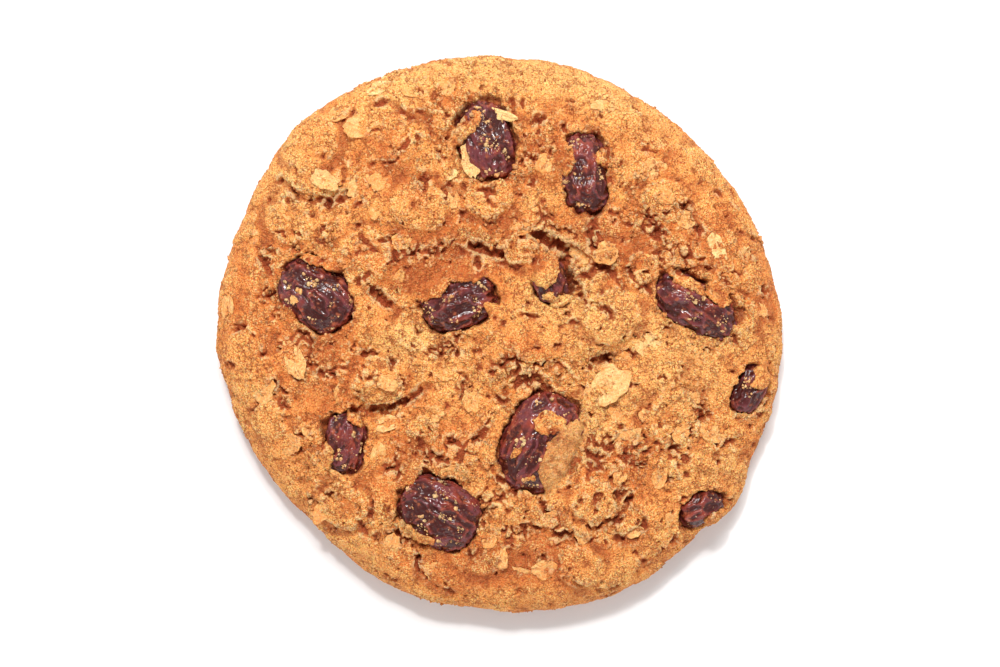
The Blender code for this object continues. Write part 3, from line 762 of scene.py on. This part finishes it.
# %% Baked dough
def make_dough_material(name, glow):
    shader = Shader(name)
    golden = srgb(244, 159, 84)
    toasted = srgb(226, 130, 64)
    brown = srgb(174, 84, 44)
    straw = srgb(255, 210, 130)
    cream = srgb(255, 224, 164)
    rust = srgb(194, 98, 44)
    # Dark red brown for hollows, pinholes and low places: partly moist dough, partly painted shade.
    moist_and_shade = srgb(166, 76, 42)
    tone_and_shade = shader.attribute("tone_and_shade")
    patches = shader.between(shader.sum(shader.noise(7.0, 2.0), shader.times(tone_and_shade, -0.2)), 0.38, 0.62)
    base = shader.mix(patches, golden, toasted)
    # Broad depressions turn brown: painted shade.
    rise = shader.sum(shader.attribute("rise"), shader.times(shader.sum(shader.noise(2.2, 3.0, 9.0), -0.5), 0.35))
    base = shader.mix(shader.between(rise, 0.0, -0.18, 0.0, 0.8), base, brown)
    # Where the tone map is low the crust turns brown: toasted patches, and painted shade in broad depressions.
    base = shader.mix(shader.between(tone_and_shade, -0.5, -1.6, 0.0, 0.6), base, brown)
    base = shader.mix(shader.between(tone_and_shade, 0.4, 2.0, 0.0, 0.5), base, straw)
    # Pale grains gather on raised lumps: partly dry crust, partly painted light.
    pale_zone = shader.between(shader.sum(rise, shader.times(tone_and_shade, 0.05)), -0.06, 0.16, 0.15, 0.85)
    pale_grains = shader.between(shader.noise(0.25, 1.0, shift=2.0), 0.45, 0.57)
    base = shader.mix(shader.times(pale_grains, pale_zone), base, straw)
    base = shader.mix(shader.between(shader.noise(0.22, 0.0, shift=4.0), 0.46, 0.34, 0.0, 0.65), base, rust)
    # The borders between sand grains, low in the bump, turn rust brown: painted shade between grains.
    sand = shader.grains(0.30)
    base = shader.mix(shader.between(sand, 0.5, 0.85, 0.0, 0.55), base, rust)
    # Dark pores and dots stand in for pinholes: painted shade inside them.
    pores = shader.between(shader.grains(0.42), 0.32, 0.10, 0.0, 0.7)
    pore_zone = shader.between(shader.noise(1.0, 2.0, shift=6.0), 0.47, 0.58)
    base = shader.mix(shader.times(pores, pore_zone), base, rust)
    dots = shader.between(shader.grains(0.85), 0.26, 0.14, 0.0, 0.9)
    dot_zone = shader.between(shader.noise(3.0, 2.0, shift=7.0), 0.46, 0.54)
    base = shader.mix(shader.times(dots, dot_zone), base, moist_and_shade)
    # Fine cracks, pressed in by the bump and painted brown: painted shade in the cracks.
    seam_zone = shader.between(shader.noise(1.8, 1.0, shift=9.0), 0.46, 0.56)
    seams = shader.times(shader.between(shader.cracks(1.1, 1.4), 0.09, 0.03), seam_zone)
    base = shader.mix(shader.times(seams, 0.65), base, brown)
    lift = shader.attribute("lift")
    # Raised crests turn cream, partly dry crust and partly painted light.
    base = shader.mix(shader.between(lift, 0.04, 0.26, 0.0, 0.5), base, cream)
    base = shader.mix(shader.times(shader.attribute("cream"), 0.8), base, cream)
    # Low places and hollows turn dark red brown: painted shade.
    base = shader.mix(shader.between(lift, -0.04, -0.36, 0.0, 0.6), base, moist_and_shade)
    base = shader.mix(shader.between(shader.attribute("hollow"), 0.15, 0.9, 0.0, 0.8), base, moist_and_shade)
    film_share = shader.between(shader.noise(0.5, 3.0, shift=12.0), 0.35, 0.6, 0.3, 0.8)
    base = shader.mix(shader.times(shader.attribute("film"), film_share), base, srgb(210, 150, 92))
    shader.feed(shader.surface.inputs["Base Color"], base)
    shader.surface.inputs["Roughness"].default_value = 0.75
    shader.surface.inputs["Specular IOR Level"].default_value = 0.18
    shader.surface.inputs["Subsurface Weight"].default_value = glow
    shader.surface.inputs["Subsurface Radius"].default_value = (1.0, 0.4, 0.15)
    shader.surface.inputs["Subsurface Scale"].default_value = 0.6 * MM
    height = shader.sum(shader.noise(0.36, 3.0, shift=1.0), shader.times(sand, -0.5))
    height = shader.sum(height, shader.times(seams, -0.6))
    shader.bump(height, 0.46)
    return shader.material


dough_material = make_dough_material("baked_dough", 0.3)
dough = new_piece("baked_dough", fine_form, fine_faces.tolist(), dough_material)
paint(dough, "hollow", hollow)
paint(dough, "lift", lift)
paint(dough, "film", film)
paint(dough, "tone_and_shade", tone_and_shade)
paint(dough, "rise", rise)
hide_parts("dough")

# %% Thin the mesh where it is flat
MOST_TRIANGLES = 196000
thin = dough.modifiers.new("thin_flat_places", "DECIMATE")
thin.ratio = MOST_TRIANGLES / (2 * len(fine_faces))
bpy.context.view_layer.objects.active = dough
bpy.ops.object.modifier_apply(modifier=thin.name)
print("dough thinned to", len(dough.data.polygons), "faces")

# %% [markdown]
# ## Raisins
#
# A raisin is a grape that lost most of its water: a plump oval whose skin is too large for it and so
# lies in folds, rounded on top with sharp valleys between. Noise that is folded at zero gives exactly
# that. It is stretched along the raisin, so that most folds run lengthwise.

# %% Raisin skin
def make_raisin_material():
    shader = Shader("raisin_skin")
    valley = srgb(66, 18, 14)
    wine = srgb(142, 58, 44)
    mauve = srgb(114, 54, 58)
    hue = shader.between(shader.noise(2.6, 2.0, shift=5.0), 0.40, 0.58)
    ridge = shader.attribute("ridge")
    # Fold valleys are painted dark, as shade, and the crests take the wine and mauve colours.
    base = shader.mix(shader.between(ridge, 0.05, 0.85), valley, shader.mix(hue, wine, mauve))
    amber = shader.between(shader.noise(0.9, 3.0, shift=8.0), 0.54, 0.70, 0.0, 0.6)
    base = shader.mix(amber, base, srgb(182, 96, 60))
    # Pale specks: partly sugar dust, partly painted sheen.
    dust_and_sheen = shader.between(shader.noise(0.45, 3.0, shift=3.0), 0.64, 0.72, 0.0, 0.7)
    base = shader.mix(dust_and_sheen, base, srgb(232, 184, 138))
    shader.feed(shader.surface.inputs["Base Color"], base)
    shader.feed(shader.surface.inputs["Roughness"], shader.between(ridge, 0.0, 0.5, 0.4, 0.2))
    shader.surface.inputs["Specular IOR Level"].default_value = 0.15
    shader.surface.inputs["Coat Weight"].default_value = 0.5
    shader.surface.inputs["Coat Roughness"].default_value = 0.12
    shader.bump(shader.sum(shader.noise(0.8, 2.0), shader.times(shader.noise(0.4, 2.0, shift=1.0), 0.3)), 0.26)
    return shader.material


raisin_material = make_raisin_material()


def build_raisin(raisin, seed):
    """One raisin: a folded, wrinkled skin on a blunt oval. Returns its points and directions."""
    ball = bmesh.new()
    bmesh.ops.create_icosphere(ball, subdivisions=6 if raisin["half"][0] > 4.5 else 5, radius=1.0)
    unit = np.array([vertex.co.normalized() for vertex in ball.verts])
    faces = [[vertex.index for vertex in face.verts] for face in ball.faces]
    ball.free()
    flank = np.hypot(unit[:, 1], unit[:, 2])
    blunt = (np.abs(unit[:, 0]) ** PLUMP_POWER + flank ** PLUMP_POWER) ** (-1 / PLUMP_POWER)
    body = unit * blunt[:, None] * raisin["half"]
    stretched = body * (0.42, 1.0, 1.0) + 0.7 * wander(body, 2.2, shift=seed)
    fold = np.abs(fractal(stretched, 2.1, octaves=2, shift=seed * 3.1))
    wrinkle = np.abs(fractal(stretched, 0.72, octaves=3, shift=seed * 1.7))
    crest = 1.0 - ramp(fold, 0.02, 0.40)
    line = 1.0 - ramp(wrinkle, 0.0, 0.24)
    sag = fractal(body, 4.5, octaves=2, shift=seed * 0.7)
    inward = 0.42 - 0.42 * crest - 0.16 * line + 0.5 * np.maximum(0.0, sag)
    body = body - unit * inward[:, None]
    points = raisin["middle"] + body @ raisin["axes"]
    piece = new_piece(raisin["name"] + "_skin", points, faces, raisin_material)
    # ridge is high on crests and low in valleys and sagging dents, where the material paints shade.
    paint(piece, "ridge", 0.62 * crest + 0.38 * line - 0.6 * np.maximum(0.0, sag))
    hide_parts(raisin["name"])
    return points, unit @ raisin["axes"], faces


skins = [build_raisin(raisin, seed) for seed, raisin in enumerate(raisins, start=1)]
skin_points = np.concatenate([points for points, _, _ in skins])
skin_out = np.concatenate([out for _, out, _ in skins])
starts = np.cumsum([0] + [len(points) for points, _, _ in skins])
skin_faces = np.concatenate([np.array(faces) + start for (_, _, faces), start in zip(skins, starts)])
skin_tree = BVHTree.FromPolygons(skin_points.tolist(), skin_faces.tolist())
print(2 * len(skin_points), "triangles in the raisins")

# %% [markdown]
# ## Rolled oats
#
# A rolled oat is a grain pressed flat: a thin oval plate with a crease along its middle, a slightly ragged edge and a
# curl from the oven. The clearest flakes are listed one by one and the rest placed at random.
# Each lies nearly flush with the crust at a tilt of its own, so that dough hides part of its edge.

# %% Flakes: x, y, half length, half width, turn in degrees, tilt in degrees
FLAKES = (
    (-19.0, 38.7, 2.2, 1.2, 30, 8, 0.7), (-25.5, 34.5, 1.6, 1.5, 0, 6, 0.2), (-22.5, 32.3, 2.3, 1.8, -20, 8, 0.25),
    (-27.3, 24.0, 2.5, 1.5, -25, 8, 0.55), (-8.5, 38.5, 1.5, 1.2, 20, 8, 0.2), (-4.7, 26.8, 2.6, 1.4, 100, 10, 0.65),
    (-7.6, 24.8, 1.1, 0.8, 40, 12, 0.8), (-43.0, 4.0, 2.3, 1.4, 80, 6, 0.3), (24.0, 25.8, 2.3, 1.8, 15, 8, 0.3),
    (7.0, 26.5, 1.8, 1.5, 60, 6, 0.1), (33.8, 12.8, 2.6, 1.6, 95, 12, 0.75), (16.0, 35.7, 2.3, 0.9, -12, 8, 0.4),
    (16.5, 12.5, 2.1, 1.8, 20, 8, 0.1), (29.0, 17.8, 1.6, 1.4, 0, 8, 0.2), (38.5, 12.0, 1.8, 1.4, 50, 10, 0.5),
    (16.8, -8.0, 3.6, 2.7, 25, 3, 0.6), (22.8, -1.8, 2.1, 1.8, -60, 6, 0.6), (8.5, -28.5, 2.3, 1.1, 10, 8, 0.3),
    (20.0, -16.5, 2.5, 1.6, 25, 8, 0.35), (33.0, -15.5, 2.1, 1.5, -30, 8, 0.3), (7.0, -37.0, 1.9, 1.6, 0, 8, 0.15),
    (-32.3, -4.0, 3.3, 1.5, -65, 8, 0.4), (-17.5, -14.0, 2.1, 1.5, 10, 10, 0.7), (-19.0, -19.0, 1.9, 1.2, 80, 8, 0.3),
    (-17.5, -7.8, 1.7, 1.3, 0, 8, 0.2), (-26.0, -22.5, 1.7, 1.1, -30, 8, 0.3), (-7.0, -21.5, 2.2, 1.1, 10, 8, 0.3),
    (-37.0, -9.0, 2.2, 1.7, 60, 6, 0.2), (-10.5, -12.5, 1.6, 1.4, 0, 8, 0.2), (-17.0, -33.5, 2.2, 1.3, 70, 8, 0.25),
    (-33.0, -17.3, 2.1, 1.6, 20, 8, 0.2), (-0.6, 34.3, 3.4, 0.8, -14, 10, 0.9), (-31.8, 5.8, 1.4, 0.8, 60, 15, 0.4),
)
RANDOM_FLAKES = 45
AROUND = 28
FLAKE_RINGS = 7

chance = np.random.default_rng(7)
form_tree = BVHTree.FromPolygons(fine_form.tolist(), fine_faces.tolist())
near_vertex = KDTree(len(places))
for row, place in enumerate(places):
    near_vertex.insert(place, row)
near_vertex.balance()


def make_oat_material():
    shader = Shader("oat_flake")
    cover = shader.sum(shader.attribute("pale"), shader.times(shader.sum(shader.noise(1.3, 3.0), -0.5), 1.6))
    base = shader.mix(shader.between(cover, 0.0, 1.0), srgb(246, 160, 84), srgb(255, 214, 146))
    fibre = shader.attribute("fibre")
    base = shader.mix(shader.between(fibre, 0.4, -0.4, 0.0, 0.4), base, srgb(214, 130, 66))
    grain = shader.noise(0.3, 3.0, shift=2.0)
    base = shader.mix(shader.between(grain, 0.42, 0.66, 0.0, 0.45), base, srgb(255, 216, 146))
    base = shader.mix(shader.between(shader.noise(0.26, 1.0, shift=5.0), 0.48, 0.36, 0.0, 0.6), base, srgb(232, 146, 78))
    pores = shader.between(shader.grains(0.5), 0.26, 0.08, 0.0, 0.6)
    base = shader.mix(pores, base, srgb(178, 96, 50))
    shader.feed(shader.surface.inputs["Base Color"], base)
    shader.surface.inputs["Roughness"].default_value = 0.5
    shader.surface.inputs["Specular IOR Level"].default_value = 0.3
    shader.surface.inputs["Subsurface Weight"].default_value = 0.25
    shader.surface.inputs["Subsurface Radius"].default_value = (1.0, 0.45, 0.2)
    shader.surface.inputs["Subsurface Scale"].default_value = 0.9 * MM
    shader.bump(shader.sum(shader.noise(0.4, 5.0), shader.times(fibre, 0.6)), 0.32)
    return shader.material


# A flake's points run in rings from the middle of its top over the rim to the middle of its bottom.
fall = np.arange(1, 2 * FLAKE_RINGS) * math.pi / (2 * FLAKE_RINGS)
turn = np.arange(AROUND) * math.tau / AROUND
ring_share = np.concatenate([[0.0], np.repeat(np.sin(fall), AROUND), [0.0]])
ring_side = np.concatenate([[1.0], np.repeat(np.cos(fall), AROUND), [-1.0]])
ring_turn = np.concatenate([[0.0], np.tile(turn, len(fall)), [0.0]])
last = len(ring_share) - 1
flake_faces = [(0, 1 + k, 1 + (k + 1) % AROUND) for k in range(AROUND)]
flake_faces += [(last, last - AROUND + (k + 1) % AROUND, last - AROUND + k) for k in range(AROUND)]
for ring in range(len(fall) - 1):
    first = 1 + ring * AROUND
    for k in range(AROUND):
        side = (k + 1) % AROUND
        flake_faces.append((first + k, first + AROUND + k, first + AROUND + side))
        flake_faces.append((first + k, first + AROUND + side, first + side))
flake_faces = np.array(flake_faces)


def flake(length, width, seed):
    """Points of one flake lying flat, in millimetres, and how its fibres run."""
    rim = np.stack([np.cos(ring_turn), np.sin(ring_turn), 0 * ring_turn], axis=1)
    ragged = 1.0 + 0.3 * fractal(rim * 1.9, 1.0, octaves=4, shift=seed)
    across = rim[:, :2] * (ring_share * ragged)[:, None] * (length, width)
    thick = 0.15 * np.sign(ring_side) * np.sqrt(np.abs(ring_side))
    crease = 0.12 * np.exp(-((across[:, 1] / 0.22) ** 2)) * ramp(ring_share, 1.0, 0.8)
    waves = 0.32 * fractal(np.column_stack([across, thick]), 2.5, octaves=2, shift=seed + 0.5)
    curl = 0.05 * across[:, 1] ** 2
    fibre = fractal(np.column_stack([across * (0.7, 3.2), thick]), 1.0, octaves=2, shift=seed + 0.3)
    return np.column_stack([across, thick - crease + waves + curl]), fibre


def lay(x, y, turn, tilt, height):
    """Where a flat thing lands on the crust or a raisin: its middle, and rows for its own axes."""
    above, down = Vector((x, y, 40.0)), Vector((0.0, 0.0, -1.0))
    crust_spot = form_tree.ray_cast(above, down)[0]
    skin_spot = skin_tree.ray_cast(above, down)[0]
    row = near_vertex.find(crust_spot)[1]
    ground = places[row] + normals[row] * level[row]
    if skin_spot and skin_spot.z > crust_spot.z:
        ground = np.array(skin_spot)
    up = Vector(normals[row]).normalized()
    up = (up + math.tan(math.radians(tilt)) * Vector((math.cos(x * 7 + y), math.sin(x * 7 + y), 0.0))).normalized()
    along = Vector((math.cos(math.radians(turn)), math.sin(math.radians(turn)), 0.0))
    along = (along - along.dot(up) * up).normalized()
    return ground + normals[row] * height, np.array([along, up.cross(along), up])


flakes = [(*row, -0.06) for row in FLAKES]
while len(flakes) < len(FLAKES) + RANDOM_FLAKES:
    angle, radius = chance.uniform(0.0, math.tau), 42.0 * math.sqrt(chance.random())
    x, y = radius * math.cos(angle), radius * math.sin(angle)
    free = all(math.dist(raisin["middle"][:2], (x, y)) > raisin["half"][0] + 1.0 for raisin in raisins)
    free = free and all(math.dist(other[:2], (x, y)) > 3.6 for other in flakes)
    if free:
        length = chance.uniform(1.2, 2.3)
        flakes.append((x, y, length, length * chance.uniform(0.55, 0.8), chance.uniform(0, 180),
                       chance.uniform(6, 22), chance.uniform(0.0, 0.35), chance.uniform(-0.35, 0.02)))
oat_points, oat_fibre, oat_pale = [], [], []
for seed, (x, y, length, width, turn_degrees, tilt, pale, height) in enumerate(flakes):
    shape, fibre = flake(length, width, seed * 1.37)
    middle, axes = lay(x, y, turn_degrees, tilt, height)
    oat_points.append(middle + shape @ axes)
    oat_fibre.append(fibre)
    oat_pale.append(np.full(len(shape), pale))
oat_count = len(oat_points)
oat_faces = (flake_faces[None] + (last + 1) * np.arange(oat_count)[:, None, None]).reshape(-1, 3)
oats = new_piece("oat_flakes", np.concatenate(oat_points), oat_faces.tolist(), make_oat_material())
paint(oats, "fibre", np.concatenate(oat_fibre))
paint(oats, "pale", np.concatenate(oat_pale))
print(oat_count, "flakes,", len(oat_faces), "triangles")

# %% [markdown]
# ## Crumbs
#
# Dough tears as it spreads, and leaves loose grains all over the crust. They are what makes a cookie look dry and
# rough, and each one catches light and drops a tiny shadow, which no painted texture does. One small irregular stone
# is made, then copied thousands of times with its own size and turn into a single mesh. Most crumbs are half sunk in
# the dough, and some lie on the raisins. Crumbs in hollows also carry the dough's painted shade.

# %% Scatter small lumps over the rough places
def stone(subdivisions):
    """Vertices and faces of a small ball."""
    ball = bmesh.new()
    bmesh.ops.create_icosphere(ball, subdivisions=subdivisions, radius=1.0)
    vertices = np.array([vertex.co for vertex in ball.verts])
    faces = np.array([[vertex.index for vertex in face.verts] for face in ball.faces])
    ball.free()
    return vertices, faces


def random_turns(count):
    """Random rotation matrices."""
    matrices, _ = np.linalg.qr(chance.normal(size=(count, 3, 3)))
    return matrices * np.sign(np.linalg.det(matrices))[:, None, None]


def scatter(name, subdivisions, smallest, largest, sink, spots):
    """Joins uneven lumps into one piece. Each entry of spots gives points, directions, weights, shades
    and how many of the lumps land there."""
    ball, faces = stone(subdivisions)
    points, shade = [], []
    lifts, creams = [], []
    for places_here, out, weights, shades, paleness, count in spots:
        rows = chance.choice(len(places_here), size=count, replace=False, p=weights / weights.sum())
        sizes = smallest * (largest / smallest) ** (chance.random(count) ** 1.7)
        shapes = ball[None] * chance.uniform(0.62, 1.25, (count, len(ball), 1))
        shapes = shapes * chance.uniform(0.6, 1.15, (count, 1, 3)) * sizes[:, None, None]
        shapes = np.einsum("nij,nvj->nvi", random_turns(count), shapes)
        middles = places_here[rows] + out[rows] * (sizes * chance.uniform(-sink, 0.2, count))[:, None]
        points.append((shapes + middles[:, None]).reshape(-1, 3))
        shade.append(np.repeat(shades[rows], len(ball)))
        lifts.append(np.repeat(chance.uniform(-0.1, 0.2, count), len(ball)))
        creams.append(np.repeat(paleness * chance.uniform(0.3, 1.0, count), len(ball)))
    points = np.concatenate(points)
    total = len(points) // len(ball)
    joined = (faces[None] + len(ball) * np.arange(total)[:, None, None]).reshape(-1, 3)
    piece = new_piece(name, points, joined.tolist(), crumb_material)
    paint(piece, "hollow", np.concatenate(shade))
    paint(piece, "lift", np.concatenate(lifts))
    paint(piece, "cream", np.concatenate(creams))
    print(name, len(joined), "triangles")


crumb_material = make_dough_material("dry_crumb", 0.0)
open_crust = ramp(normals[:, 2], -0.35, 0.1) * ramp(places[:, 2], 0.8, 2.0) * (1 - pocket) * (1 - 0.9 * film)
crumb_weight = open_crust * (0.08 + rough) * (0.15 + ramp(lift, -0.1, 0.2)) * (1 + 3 * brink)
crust = (fine_form, normals, crumb_weight, 0.4 * hollow, 0.1)
even_crust = (fine_form, normals, crumb_weight + 0.25 * open_crust, 0.4 * hollow, 0.1)
dusted = ramp(skin_out[:, 2], 0.2, 0.7) * ramp(fractal(skin_points, 2.0, octaves=2, shift=50.0), 0.2, 0.5)
skins_on_top = (skin_points, skin_out, dusted + 1e-9, 0.0 * dusted, 0.9)
oat_all = np.concatenate(oat_points)
oat_out = np.tile((0.0, 0.0, 1.0), (len(oat_all), 1))
oat_area = np.repeat([length * width for _, _, length, width, *_ in flakes], last + 1)
oat_weight = oat_area * (ramp(fractal(oat_all, 1.8, octaves=2, shift=60.0), -0.1, 0.4) + 0.05)
oats_on_top = (oat_all, oat_out, oat_weight, 0.0 * oat_weight, 0.3)
scatter("crumbs", 2, 0.16, 0.46, 0.55, [(*crust, 1650), (*skins_on_top, 320), (*oats_on_top, 300)])
scatter("fine_crumbs", 1, 0.09, 0.22, 0.3, [(*even_crust, 7300), (*skins_on_top, 400), (*oats_on_top, 1650)])

# %% [markdown]
# ## Floor, light and camera
#
# The cookie lies on a plain pale floor. One large lamp stands beyond the cookie's far side and high up,
# so that every lump casts a short shadow towards the near side, and a dim dome of light keeps those
# shadows open. The camera looks straight down through a long lens.

# %% Floor
floor_data = bpy.data.meshes.new("floor")
floor_data.from_pydata([(-2, -2, 0), (2, -2, 0), (2, 2, 0), (-2, 2, 0)], [], [(0, 1, 2, 3)])
paper = Shader("pale_floor")
paper.feed(paper.surface.inputs["Base Color"], (0.93, 0.93, 0.93, 1.0))
paper.surface.inputs["Roughness"].default_value = 0.9
floor_data.materials.append(paper.material)
floor = bpy.data.objects.new("floor", floor_data)
bpy.context.scene.collection.objects.link(floor)
floor.location.z = -0.0002

# %% Light
def add_lamp(name, azimuth, elevation, distance, size, power):
    """A square lamp aimed at the cookie. Azimuth 0 is over +Y."""
    data = bpy.data.lights.new(name, "AREA")
    data.size = size
    data.energy = power
    lamp = bpy.data.objects.new(name, data)
    bpy.context.scene.collection.objects.link(lamp)
    turn, rise = math.radians(azimuth), math.radians(elevation)
    direction = Vector((-math.sin(turn) * math.cos(rise), math.cos(turn) * math.cos(rise), math.sin(rise)))
    lamp.location = direction * distance
    lamp.rotation_mode = "QUATERNION"
    lamp.rotation_quaternion = direction.to_track_quat("Z", "Y")
    return lamp


add_lamp("key", azimuth=0, elevation=54, distance=1.0, size=0.36, power=7.0)
add_lamp("glint", azimuth=12, elevation=60, distance=1.0, size=0.08, power=3.2)
add_lamp("fill", azimuth=180, elevation=35, distance=1.0, size=0.6, power=1.8)
world = bpy.data.worlds.new("dome")
world.use_nodes = True
sky = world.node_tree
sky_height = sky.nodes.new("ShaderNodeSeparateXYZ")
sky_glow = sky.nodes.new("ShaderNodeMapRange")
sky_glow.interpolation_type = "SMOOTHSTEP"
for socket, number in zip(("From Min", "From Max", "To Min", "To Max"), (0.35, 0.95, 0.9, 0.36)):
    sky_glow.inputs[socket].default_value = number
sky.links.new(sky.nodes.new("ShaderNodeTexCoord").outputs["Generated"], sky_height.inputs["Vector"])
sky.links.new(sky_height.outputs["Z"], sky_glow.inputs["Value"])
sky.links.new(sky_glow.outputs["Result"], sky.nodes["Background"].inputs["Strength"])
sky.nodes["Background"].inputs["Color"].default_value = (1.0, 1.0, 1.0, 1.0)
bpy.context.scene.world = world
bpy.context.scene.view_settings.view_transform = "Standard"

# %% Camera
LENS = 100.0
VIEW_WIDTH = 0.159  # how much of the floor the picture is wide
camera_data = bpy.data.cameras.new("camera")
camera_data.lens = LENS
camera = bpy.data.objects.new("camera", camera_data)
bpy.context.scene.collection.objects.link(camera)
camera.location = (0.0, 0.0, WIDEST_HEIGHT * MM + VIEW_WIDTH * LENS / camera_data.sensor_width)
bpy.context.scene.camera = camera
